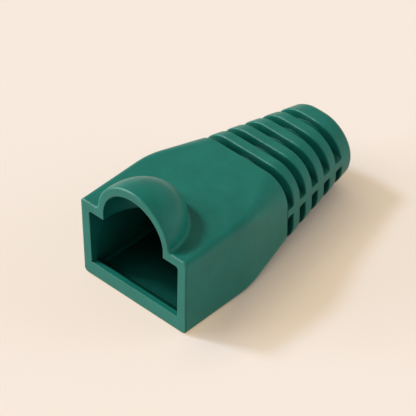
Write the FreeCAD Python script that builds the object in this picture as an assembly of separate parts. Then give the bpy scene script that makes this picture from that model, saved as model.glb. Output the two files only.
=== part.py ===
import FreeCAD, Part
import math
import os

# Strain relief boot for an 8P8C (RJ45) patch lead, moulded in one piece from soft PVC.
#
# Every size is in millimetres. Stations are distances back from the mouth, along the
# cable. X is the width, +Y runs from the mouth to the tail and +Z is up. The boot rests
# on the flat bottom of its box, and the origin is in the middle of its length, on that
# bottom.

# Plug pocket: a rectangular hole that takes the back of the plug.
plug_width = 11.7
plug_play = 0.05
pocket_height = 7.6
pocket_depth = 9.4
pocket_draw_in = 0.35
pocket_corner = 0.3
throat_length = 7.0

# Walls round the pocket at the mouth.
side_wall = 1.18
side_lean = 0.2
floor_wall = 0.9
roof_wall = 1.1

# Lip across the floor of the mouth, which catches the back of the plug.
lip_height = 0.9
lip_land = 0.6
lip_ramp = 1.0

# Outside of the box: square at the mouth, straight for a way, then narrowing and rounding off.
mouth_top_corner = 0.5
mouth_bottom_corner = 0.6
straight_length = 9.4
straight_top_corner = 0.75
straight_bottom_corner = 0.6
straight_rise = 0.1
bend_length = 3.0
bend_steps = 4
box_length = 15.65
box_end_width = 12.7
box_end_height = 9.5
box_end_top_corner = 3.0
box_end_bottom_corner = 3.2

# Hood over the plug's latch: a dome cut off flush with the mouth.
hood_radius = 4.1
hood_wall = 0.83
hood_depth = 5.4
hood_back_wall = 0.75
hood_sink = 0.18
hood_roof_drop = 0.2
hood_tilt = 16.0
hood_foot_blend = 0.35

# Tail: rings on a thin sleeve, with a spine along each side that ties them together.
cable_diameter = 5.2
cable_play = 0.1
slot_count = 5
slot_width = 1.0
slot_pitch = 2.24
slot_corner = 0.25
collar_width = 1.95
tail_end_width = 8.55
tail_end_height = 7.75
tail_end_lift = 0.55
tail_end_roundness = 0.98
spine_height = 0.9
spine_start_level = 5.4
spine_end_level = 4.95
sleeve_start_wall = 1.4
sleeve_end_wall = 0.55

# Small rounds on the moulded edges.
ring_round = 0.1
collar_round = 0.35
mouth_edge = 0.12
ring_steps = 1
collar_steps = 2

# Sizes that follow from the ones above.
pocket_width = plug_width + 2 * plug_play
pocket_ceiling = floor_wall + pocket_height
mouth_width = pocket_width + 2 * side_wall
mouth_height = pocket_ceiling + roof_wall
hood_level = mouth_height - hood_sink
bore_radius = cable_diameter / 2 + cable_play
bore_level = tail_end_lift + tail_end_height / 2
tail_length = (slot_count - 1) * slot_pitch + slot_width + collar_width
overall_length = box_length + tail_length
overhang = 2.0
edge_gap = 0.01


def vector(x, y, z):
    return FreeCAD.Vector(x, y, z)


def section(station, low_half, high_half, bottom, top, bottom_corner, top_corner):
    """Closed outline across the boot: a rectangle with rounded corners and leaning sides."""
    diagonal = 0.5 ** 0.5
    corners = (
        (1, -1, low_half, bottom, bottom_corner),
        (1, 1, high_half, top, top_corner),
        (-1, 1, high_half, top, top_corner),
        (-1, -1, low_half, bottom, bottom_corner),
    )
    arcs = []
    for side, up, half, level, radius in corners:
        centre = vector(side * (half - radius), station, level - up * radius)
        beside = centre + vector(side * radius, 0, 0)
        middle = centre + vector(side * radius * diagonal, 0, up * radius * diagonal)
        beyond = centre + vector(0, 0, up * radius)
        arcs.append((beyond, middle, beside) if side * up < 0 else (beside, middle, beyond))
    edges = []
    for arc, following in zip(arcs, arcs[1:] + arcs[:1]):
        edges.append(Part.Arc(*arc).toShape())
        edges.append(Part.makeLine(arc[2], following[0]))
    return Part.Wire(edges)


def between(first, second, share):
    """Sizes a given share of the way from the first list to the second."""
    return [a + (b - a) * share for a, b in zip(first, second)]


# Half width at the bottom and at the top, bottom, top, bottom corner and top corner of the
# outside at the main stations.
mouth_size = [
    mouth_width / 2,
    mouth_width / 2 + side_lean,
    0,
    mouth_height,
    mouth_bottom_corner,
    mouth_top_corner,
]
knee_size = [
    mouth_width / 2,
    mouth_width / 2 + side_lean,
    0,
    mouth_height + straight_rise,
    straight_bottom_corner,
    straight_top_corner,
]
box_end_size = [
    box_end_width / 2,
    box_end_width / 2,
    0,
    box_end_height,
    box_end_bottom_corner,
    box_end_top_corner,
]
tail_end_corner = tail_end_roundness * min(tail_end_width, tail_end_height) / 2
tail_end_size = [
    tail_end_width / 2,
    tail_end_width / 2,
    tail_end_lift,
    tail_end_lift + tail_end_height,
    tail_end_corner,
    tail_end_corner,
]


def tail_size(station):
    """Outside sizes of the tail at a station."""
    return between(box_end_size, tail_end_size, (station - box_length) / tail_length)


def shrunk(size, inset):
    """Sizes of an outline drawn in on every side."""
    changes = (-inset, -inset, inset, -inset, -inset, -inset)
    return [value + change for value, change in zip(size, changes)]


def rounded_end(station, outside, radius, inward, steps=ring_steps):
    """Sections that round off the edge of an end, from the end inward."""
    sections = []
    for step in range(steps + 1):
        angle = math.pi / 2 * step / steps
        depth = radius * (1 - math.cos(angle))
        inset = radius * (1 - math.sin(angle))
        here = station + inward * depth
        sections.append((here, shrunk(outside(here), inset)))
    return sections


def loft(stations_and_sizes):
    """Solid with straight sides from each section to the next."""
    return Part.makeLoft([section(s, *size) for s, size in stations_and_sizes], True, True)


def prism(outline, half_width):
    """Solid with the same outline, given as stations and levels, right across the boot."""
    points = [vector(-half_width, station, level) for station, level in outline]
    face = Part.Face(Part.makePolygon(points + points[:1]))
    return face.extrude(vector(2 * half_width, 0, 0))


def box_size(station):
    """Outside sizes of the box at a station, with the knee eased into a bend."""
    reach = bend_length / 2
    past_knee = station - straight_length
    before = between(mouth_size, knee_size, station / straight_length)
    after = between(knee_size, box_end_size, past_knee / (box_length - straight_length))
    if past_knee <= -reach:
        return before
    if past_knee >= reach:
        return after
    share = (past_knee + reach) / bend_length
    bend_start = between(mouth_size, knee_size, 1 - reach / straight_length)
    bend_end = between(knee_size, box_end_size, reach / (box_length - straight_length))
    towards_knee = between(bend_start, knee_size, share)
    away_from_knee = between(knee_size, bend_end, share)
    return between(towards_knee, away_from_knee, share)


def make_box_outside():
    """Outside of the box, with its end edges rounded."""
    sections = [(0, box_size(0))]
    for step in range(bend_steps + 1):
        station = straight_length + bend_length * (step / bend_steps - 0.5)
        sections.append((station, box_size(station)))
    return loft(sections + rounded_end(box_length, box_size, ring_round, -1)[::-1])


def make_ring(start, end, end_round, end_steps):
    """A slice of the tail with rounded edges."""
    front = rounded_end(start, tail_size, ring_round, 1)
    return loft(front + rounded_end(end, tail_size, end_round, -1, end_steps)[::-1])


def make_rings():
    rings = []
    for index in range(1, slot_count):
        end = box_length + index * slot_pitch
        rings.append(make_ring(end - slot_pitch + slot_width, end, ring_round, ring_steps))
    collar_start = overall_length - collar_width
    rings.append(make_ring(collar_start, overall_length, collar_round, collar_steps))
    return rings


def spine_level(station):
    share = (station - box_length) / tail_length
    return spine_start_level + (spine_end_level - spine_start_level) * share


def make_spines():
    """Strip along both sides of the tail, flush with the rings."""
    start = box_length
    end = overall_length - collar_width / 2
    reach = spine_height / 2
    outline = (
        (start, spine_level(start) - reach),
        (end, spine_level(end) - reach),
        (end, spine_level(end) + reach),
        (start, spine_level(start) + reach),
    )
    tail = loft([(start, tail_size(start)), (end, tail_size(end))])
    return tail.common(prism(outline, box_end_width))


def make_sleeve():
    """Tube that lines the tail and shows at the bottom of its slots."""
    length = tail_length + overhang / 2 - collar_round
    start = vector(0, box_length - overhang / 2, bore_level)
    start_radius = bore_radius + sleeve_start_wall
    end_radius = bore_radius + sleeve_end_wall
    return Part.makeCone(start_radius, end_radius, length, start, vector(0, 1, 0))


def make_slot_corners(index):
    """Round the ends of a slot where it meets the spines."""
    start = box_length + index * slot_pitch
    end = start + slot_width
    reach = spine_height / 2
    tall = box_end_height
    web = loft([(start, tail_size(start)), (end, tail_size(end))])
    blocks = []
    for up in (1, -1):
        outline = [(y, spine_level(y) + up * reach) for y in (start, end)]
        outline += [(y, spine_level(y) + up * tall) for y in (end, start)]
        block = prism(outline, box_end_width)
        inner_edges = []
        for edge in block.Edges:
            middle = edge.CenterOfMass
            crosswise = abs(edge.Vertexes[0].X - edge.Vertexes[-1].X) > box_end_width
            if crosswise and abs(middle.z - spine_level(middle.y)) < (reach + tall) / 2:
                inner_edges.append(edge)
        blocks.append(block.makeFillet(slot_corner, inner_edges))
    return web.cut(blocks)


def make_dome(radius, depth, level):
    """Round dome with its long axis rising from the mouth, and straight walls below it."""
    reaches = [vector(0, depth, 0), vector(radius, 0, 0)]
    if depth < radius:
        reaches.reverse()
    ellipse = Part.Ellipse(reaches[0], reaches[1], vector(0, 0, 0)).toShape()
    oval = Part.Face(Part.Wire(ellipse))
    side = Part.makeBox(radius, 2 * depth, 1, vector(0, -depth, -0.5))
    dome = oval.common(side).revolve(vector(0, 0, 0), vector(0, -1, 0), 180)
    for shape in (dome, oval):
        shape.rotate(vector(0, 0, 0), vector(1, 0, 0), hood_tilt)
        shape.translate(vector(0, 0, level))
    return dome.fuse(oval.extrude(vector(0, 0, -level / 2)))


def make_hood():
    """Outside of the hood, cut off flush with the mouth."""
    radius = hood_radius + hood_wall
    depth = hood_depth + hood_back_wall
    behind_mouth = Part.makeBox(2 * radius, 2 * depth, 4 * radius, vector(-radius, 0, 0))
    return make_dome(radius, depth, hood_level).common(behind_mouth)


def make_hood_space():
    """Room for the latch: the inside of the dome, open down into the pocket."""
    return make_dome(hood_radius, hood_depth, hood_level - hood_roof_drop)


def make_inside():
    """The plug pocket, the throat that closes it down, and the bore for the cable."""
    half = pocket_width / 2
    back = half - pocket_draw_in
    core = bore_radius * 0.5 ** 0.5
    heights = (floor_wall, pocket_ceiling, pocket_corner, pocket_corner)
    core_heights = (bore_level - core, bore_level + core, pocket_corner, pocket_corner)
    space = loft([
        (-overhang, (half, half + side_lean, *heights)),
        (0, (half, half + side_lean, *heights)),
        (pocket_depth, (back, back, *heights)),
        (pocket_depth + throat_length, (core, core, *core_heights)),
    ])
    bore_start = vector(0, pocket_depth, bore_level)
    bore_length = overall_length - pocket_depth + overhang
    return space.fuse(Part.makeCylinder(bore_radius, bore_length, bore_start, vector(0, 1, 0)))


def make_lip():
    """The bar across the floor of the mouth, with a ramp on its inner side."""
    low = floor_wall / 2
    top = floor_wall + lip_height
    ramp_end = lip_land + lip_ramp
    outline = ((0, low), (0, top), (lip_land, top), (ramp_end, floor_wall), (ramp_end, low))
    return prism(outline, (pocket_width + side_wall) / 2)


def soften(body):
    """Blend the hood into the roof of the box and break the outer edge of the mouth."""
    reach = hood_radius + hood_wall + edge_gap
    foot = []
    for edge in body.Edges:
        box = edge.BoundBox
        on_roof = abs(box.ZMin - mouth_height) < straight_rise and box.ZLength < straight_rise
        under_hood = max(-box.XMin, box.XMax) < reach and box.YMax < 2 * hood_depth
        if on_roof and under_hood and box.YLength > edge_gap:
            foot.append(edge)
    body = body.makeFillet(hood_foot_blend, foot)
    mouth = [edge for edge in body.Edges if edge.BoundBox.YMax < edge_gap]
    return body.makeChamfer(mouth_edge, mouth)


def make_boot():
    body = soften(make_box_outside().fuse(make_hood()).removeSplitter())
    pieces = make_rings() + [make_spines(), make_sleeve()]
    pieces += [make_slot_corners(index) for index in range(slot_count)]
    boot = body.multiFuse(pieces)
    boot = boot.cut(make_inside().fuse(make_hood_space()))
    boot = boot.fuse(make_lip()).removeSplitter()
    boot.translate(vector(0, -overall_length / 2, 0))
    return boot


os.makedirs("parts", exist_ok=True)
boot = make_boot()
boot.exportStep("parts/boot.step")
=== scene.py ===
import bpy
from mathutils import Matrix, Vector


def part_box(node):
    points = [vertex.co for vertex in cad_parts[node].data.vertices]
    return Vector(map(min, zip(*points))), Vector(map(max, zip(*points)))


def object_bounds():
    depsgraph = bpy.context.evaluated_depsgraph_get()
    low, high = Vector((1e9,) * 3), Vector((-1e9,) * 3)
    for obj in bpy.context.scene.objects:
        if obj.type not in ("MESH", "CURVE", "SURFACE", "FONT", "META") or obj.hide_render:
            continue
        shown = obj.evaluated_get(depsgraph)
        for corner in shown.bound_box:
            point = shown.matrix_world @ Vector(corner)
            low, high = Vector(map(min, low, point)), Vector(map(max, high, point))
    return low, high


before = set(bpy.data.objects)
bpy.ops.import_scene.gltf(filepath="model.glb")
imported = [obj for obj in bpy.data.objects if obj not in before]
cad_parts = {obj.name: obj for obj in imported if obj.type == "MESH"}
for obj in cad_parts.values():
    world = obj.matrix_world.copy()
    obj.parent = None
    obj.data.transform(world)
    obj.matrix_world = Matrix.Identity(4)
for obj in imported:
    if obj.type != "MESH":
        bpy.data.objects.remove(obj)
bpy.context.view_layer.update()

import math

import bpy
from mathutils import Vector

# Lengths are in metres. The mouth of the boot faces -Y, and its tail points along +Y.
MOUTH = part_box("boot")[0][1]

# ---- PVC of the boot -----------------------------------------------------------
PVC_DARK = (0.0050, 0.116, 0.087, 1.0)
PVC_LIGHT = (0.0075, 0.143, 0.108, 1.0)
PVC_SPECULAR = 0.28
SMOOTHEST = 0.31
ROUGHEST = 0.43
MOTTLE_SCALE = 420.0
MOTTLE_DETAIL = 4.0
MOTTLE_ROUGHNESS = 0.6
MOTTLE_DARK_UNTIL = 0.30
MOTTLE_LIGHT_FROM = 0.72
GRAIN_SCALE = 5200.0
GRAIN_DETAIL = 3.0
GRAIN_STRENGTH = 0.35
GRAIN_DEPTH = 0.00004
EDGE_SOFTNESS = 0.00012

# ---- Painted shade in the hollows of the boot, darkening its colour ------------
HOLLOW_REACH = 0.010
HOLLOW_CLOSED = 0.18
HOLLOW_OPEN = 0.85
POCKET_SHADE = 0.0
SLOT_SHADE = 0.82
POCKET_HALF_WIDTH = 0.00595
POCKET_CEILING = 0.00865
# Distances behind the mouth.
POCKET_FROM = 0.0007
SLOTS_FROM = 0.0155

# ---- Floor ---------------------------------------------------------------------
FLOOR_SIZE = 2.0
FLOOR_COLOUR = (0.277, 0.317, 0.395, 1.0)
FLOOR_GLOW = (0.585, 0.419, 0.230, 1.0)
# Painted contact shadow: close to the boot on its shadow side, the floor's glow is taken away down
# to this level.
PAINTED_SHADOW_REACH = 0.007
PAINTED_SHADOW_GLOW = -0.1
SHADOW_SIDE_FROM = 0.003
# Painted shadow in reflections: on the boot's shadow side, the floor's glow seen in reflections is
# dimmed to this.
REFLECTED_GLOW = 0.75

# ---- Light ---------------------------------------------------------------------
# Directions run from the boot towards each light.
KEY_FROM = Vector((-0.629, -0.273, 0.728))
KEY_STRENGTH = 2.2
KEY_ANGLE = math.radians(10.0)
KEY_COLOUR = (0.99, 0.99, 1.0)
FRONT_FROM = Vector((-0.72, -0.68, 0.10))
FRONT_STRENGTH = 4.8
FRONT_COLOUR = (1.0, 0.99, 0.97)
BACK_FROM = Vector((0.70, 0.70, 0.12))
BACK_STRENGTH = 2.25
BACK_COLOUR = (1.0, 0.94, 0.84)
SOFT_ANGLE = math.radians(45.0)
SKY_COLOUR = (1.0, 0.985, 0.95, 1.0)
SKY_FILL = 0.46
SKY_LOW = 0.42
SKY_HIGH = 0.06
SKY_LOW_UNTIL = 0.50
SKY_HIGH_FROM = 0.95

# ---- Camera --------------------------------------------------------------------
CAMERA_AZIMUTH = math.radians(43.77)
CAMERA_ELEVATION = math.radians(41.40)
CAMERA_ROLL = math.radians(-0.42)
CAMERA_DISTANCE = 0.3865
CLIP_START = 0.01
CLIP_END = 10.0
SENSOR_WIDTH = 36.0
LENS = 332.5
AIM_RIGHT = -0.00102
AIM_UP = -0.00025
AIM_BEHIND_MOUTH = 0.01217
AIM_HEIGHT = 0.00507

# ---- Quality of the occlusion and bevel nodes ----------------------------------
NODE_SAMPLES = 8


def node(tree, kind, **values):
    made = tree.nodes.new(kind)
    for name, value in values.items():
        setattr(made, name, value)
    return made


def link(tree, source, output, target, socket):
    tree.links.new(source.outputs[output], target.inputs[socket])


def add_range(tree, **ends):
    """Map Range node; ends such as from_max=... set its sockets, and the rest stay 0 and 1."""
    mapped = node(tree, "ShaderNodeMapRange")
    for name, value in ends.items():
        mapped.inputs[name.replace("_", " ").title()].default_value = value
    return mapped


def add_product(tree, first, first_output, second, second_output):
    product = node(tree, "ShaderNodeMath", operation="MULTIPLY")
    link(tree, first, first_output, product, 0)
    link(tree, second, second_output, product, 1)
    return product


def add_band(tree, split, axis, low, high):
    """Node that gives 1 between two places on an axis and 0 outside them."""
    band = node(tree, "ShaderNodeMath", operation="COMPARE")
    band.inputs[1].default_value = (low + high) / 2.0
    band.inputs[2].default_value = (high - low) / 2.0
    link(tree, split, axis, band, 0)
    return band


def add_masks(tree, place):
    """Nodes that give 1 along the box, and 1 inside the plug pocket behind its mouth."""
    split = node(tree, "ShaderNodeSeparateXYZ")
    link(tree, place, "Object", split, "Vector")
    box = add_band(tree, split, "Y", MOUTH - SLOTS_FROM, MOUTH + SLOTS_FROM)
    pocket = add_band(tree, split, "Y", MOUTH + POCKET_FROM, MOUTH + SLOTS_FROM)
    for axis, limit in (("X", POCKET_HALF_WIDTH), ("Z", POCKET_CEILING)):
        band = add_band(tree, split, axis, -limit, limit)
        pocket = add_product(tree, pocket, "Value", band, "Value")
    return box, pocket


def add_hollow_shade(tree, place):
    """Node of painted shade: it gives 1 on open surfaces and less in the slots, and least in the
    pocket.
    """
    along_box, in_pocket = add_masks(tree, place)
    outside = add_range(tree, to_min=SLOT_SHADE)
    link(tree, along_box, "Value", outside, "Value")
    darkest = add_range(tree, to_max=POCKET_SHADE)
    link(tree, in_pocket, "Value", darkest, "Value")
    link(tree, outside, "Result", darkest, "To Min")
    hollow = node(tree, "ShaderNodeAmbientOcclusion", samples=NODE_SAMPLES, only_local=True)
    hollow.inputs["Distance"].default_value = HOLLOW_REACH
    shade = add_range(tree, from_min=HOLLOW_CLOSED, from_max=HOLLOW_OPEN)
    link(tree, hollow, "AO", shade, "Value")
    link(tree, darkest, "Result", shade, "To Min")
    return shade


def add_noise(tree, place, scale, detail):
    noise = node(tree, "ShaderNodeTexNoise")
    noise.inputs["Scale"].default_value = scale
    noise.inputs["Detail"].default_value = detail
    link(tree, place, "Object", noise, "Vector")
    return noise


def make_pvc():
    """Soft moulded PVC: a green with slight mottling, a fine matte grain, a little sheen, and
    painted shade darkening its slots and pocket.
    """
    material = bpy.data.materials.new("green_pvc_look")
    material.use_nodes = True
    tree = material.node_tree
    shader = tree.nodes["Principled BSDF"]
    shader.inputs["Specular IOR Level"].default_value = PVC_SPECULAR
    place = node(tree, "ShaderNodeTexCoord")

    mottle = add_noise(tree, place, MOTTLE_SCALE, MOTTLE_DETAIL)
    mottle.inputs["Roughness"].default_value = MOTTLE_ROUGHNESS
    tint = node(tree, "ShaderNodeValToRGB")
    dark, light = tint.color_ramp.elements
    dark.position, dark.color = MOTTLE_DARK_UNTIL, PVC_DARK
    light.position, light.color = MOTTLE_LIGHT_FROM, PVC_LIGHT
    link(tree, mottle, "Fac", tint, "Fac")
    # Painted shade: ambient occlusion darkens the base colour in the slots and the plug pocket.
    shaded = node(tree, "ShaderNodeVectorMath", operation="SCALE")
    link(tree, tint, "Color", shaded, "Vector")
    link(tree, add_hollow_shade(tree, place), "Result", shaded, "Scale")
    link(tree, shaded, "Vector", shader, "Base Color")

    gloss = add_range(tree, to_min=SMOOTHEST, to_max=ROUGHEST)
    link(tree, mottle, "Fac", gloss, "Value")
    link(tree, gloss, "Result", shader, "Roughness")

    edge = node(tree, "ShaderNodeBevel", samples=NODE_SAMPLES)
    edge.inputs["Radius"].default_value = EDGE_SOFTNESS
    bump = node(tree, "ShaderNodeBump")
    bump.inputs["Strength"].default_value = GRAIN_STRENGTH
    bump.inputs["Distance"].default_value = GRAIN_DEPTH
    link(tree, add_noise(tree, place, GRAIN_SCALE, GRAIN_DETAIL), "Fac", bump, "Height")
    link(tree, edge, "Normal", bump, "Normal")
    link(tree, bump, "Normal", shader, "Normal")
    return material


def add_painted_contact_shadow(tree, away):
    """Node of painted contact shadow: it gives 1 in the open and less close to the boot on its
    shadow side.
    """
    darkest = add_range(tree, from_max=SHADOW_SIDE_FROM, to_min=1.0, to_max=PAINTED_SHADOW_GLOW)
    link(tree, away, "Value", darkest, "Value")
    near = node(tree, "ShaderNodeAmbientOcclusion", samples=NODE_SAMPLES)
    near.inputs["Distance"].default_value = PAINTED_SHADOW_REACH
    painted_contact_shadow = add_range(tree)
    link(tree, near, "AO", painted_contact_shadow, "Value")
    link(tree, darkest, "Result", painted_contact_shadow, "To Min")
    return painted_contact_shadow


def add_seen_glow(tree, away):
    """Node that gives 1 to the camera, less in reflections of the shadow side as a painted shadow
    there, and 0 elsewhere.
    """
    dimmed = add_range(tree, from_max=SHADOW_SIDE_FROM, to_min=1.0, to_max=REFLECTED_GLOW)
    link(tree, away, "Value", dimmed, "Value")
    path = node(tree, "ShaderNodeLightPath")
    seen = add_range(tree)
    link(tree, path, "Is Glossy Ray", seen, "Value")
    link(tree, path, "Is Camera Ray", seen, "To Min")
    link(tree, dimmed, "Result", seen, "To Max")
    return seen


def make_floor_material():
    """Pale floor whose glow keeps the shadow light and warm; close to the boot on its shadow side
    the glow is taken away as a painted contact shadow.
    """
    material = bpy.data.materials.new("pale_floor_look")
    material.use_nodes = True
    tree = material.node_tree
    where = node(tree, "ShaderNodeNewGeometry")
    away = node(tree, "ShaderNodeVectorMath", operation="DOT_PRODUCT")
    away.inputs[1].default_value = (-KEY_FROM.x, -KEY_FROM.y, 0.0)
    link(tree, where, "Position", away, "Vector")
    painted_contact_shadow = add_painted_contact_shadow(tree, away)
    seen = add_seen_glow(tree, away)

    glow = node(tree, "ShaderNodeEmission")
    glow.inputs["Color"].default_value = FLOOR_GLOW
    link(tree, add_product(tree, painted_contact_shadow, "Result", seen, "Result"), "Value", glow, "Strength")
    shown = node(tree, "ShaderNodeBsdfDiffuse")
    shown.inputs["Color"].default_value = FLOOR_COLOUR
    lifted = node(tree, "ShaderNodeAddShader")
    link(tree, shown, "BSDF", lifted, 0)
    link(tree, glow, "Emission", lifted, 1)
    link(tree, lifted, "Shader", tree.nodes["Material Output"], "Surface")
    return material


def make_floor():
    bpy.ops.mesh.primitive_plane_add(size=FLOOR_SIZE, location=(0, 0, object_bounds()[0][2]))
    floor = bpy.context.object
    floor.name = "pale_floor"
    floor.data.materials.append(make_floor_material())


def add_sun(name, direction, strength, angle, colour, glossy):
    data = bpy.data.lights.new(name, "SUN")
    data.energy = strength
    data.angle = angle
    data.color = colour
    sun = bpy.data.objects.new(name, data)
    sun.rotation_euler = direction.to_track_quat("Z", "Y").to_euler()
    sun.visible_glossy = glossy
    bpy.context.scene.collection.objects.link(sun)


def make_world():
    """A soft, even studio sky, whose reflection is darkest straight above."""
    world = bpy.data.worlds.new("studio")
    world.use_nodes = True
    tree = world.node_tree
    place = node(tree, "ShaderNodeTexCoord")
    split = node(tree, "ShaderNodeSeparateXYZ")
    link(tree, place, "Generated", split, "Vector")
    rise = add_range(
        tree, from_min=SKY_LOW_UNTIL, from_max=SKY_HIGH_FROM, to_min=SKY_LOW, to_max=SKY_HIGH
    )
    link(tree, split, "Z", rise, "Value")
    path = node(tree, "ShaderNodeLightPath")
    seen = add_range(tree, to_min=SKY_FILL)
    link(tree, path, "Is Glossy Ray", seen, "Value")
    link(tree, rise, "Result", seen, "To Max")
    sky = tree.nodes["Background"]
    sky.inputs["Color"].default_value = SKY_COLOUR
    link(tree, seen, "Result", sky, "Strength")
    bpy.context.scene.world = world


def make_camera():
    """Camera in front of the mouth, off to +X and above, aimed near the middle of the boot."""
    azimuth, elevation = CAMERA_AZIMUTH, CAMERA_ELEVATION
    back = Vector((
        math.sin(azimuth) * math.cos(elevation),
        -math.cos(azimuth) * math.cos(elevation),
        math.sin(elevation),
    ))
    right = Vector((math.cos(azimuth), math.sin(azimuth), 0.0))
    up = back.cross(right)
    rolled_right = math.cos(CAMERA_ROLL) * right + math.sin(CAMERA_ROLL) * up
    rolled_up = back.cross(rolled_right)
    aim = Vector((0.0, MOUTH + AIM_BEHIND_MOUTH, AIM_HEIGHT))
    aim += AIM_RIGHT * rolled_right + AIM_UP * rolled_up
    place = aim + back * CAMERA_DISTANCE

    data = bpy.data.cameras.new("camera")
    data.sensor_width = SENSOR_WIDTH
    data.lens = LENS
    data.clip_start = CLIP_START
    data.clip_end = CLIP_END
    camera = bpy.data.objects.new("camera", data)
    axes = (rolled_right, rolled_up, back)
    for row in range(3):
        for column in range(3):
            camera.matrix_world[row][column] = axes[column][row]
        camera.matrix_world[row][3] = place[row]
    bpy.context.scene.collection.objects.link(camera)
    bpy.context.scene.camera = camera


def main():
    pvc = make_pvc()
    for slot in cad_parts["boot"].material_slots:
        slot.material = pvc
    make_floor()
    add_sun("key", KEY_FROM, KEY_STRENGTH, KEY_ANGLE, KEY_COLOUR, True)
    add_sun("front", FRONT_FROM, FRONT_STRENGTH, SOFT_ANGLE, FRONT_COLOUR, True)
    add_sun("back", BACK_FROM, BACK_STRENGTH, SOFT_ANGLE, BACK_COLOUR, False)
    make_world()
    make_camera()
    bpy.context.scene.view_settings.view_transform = "Standard"


main()
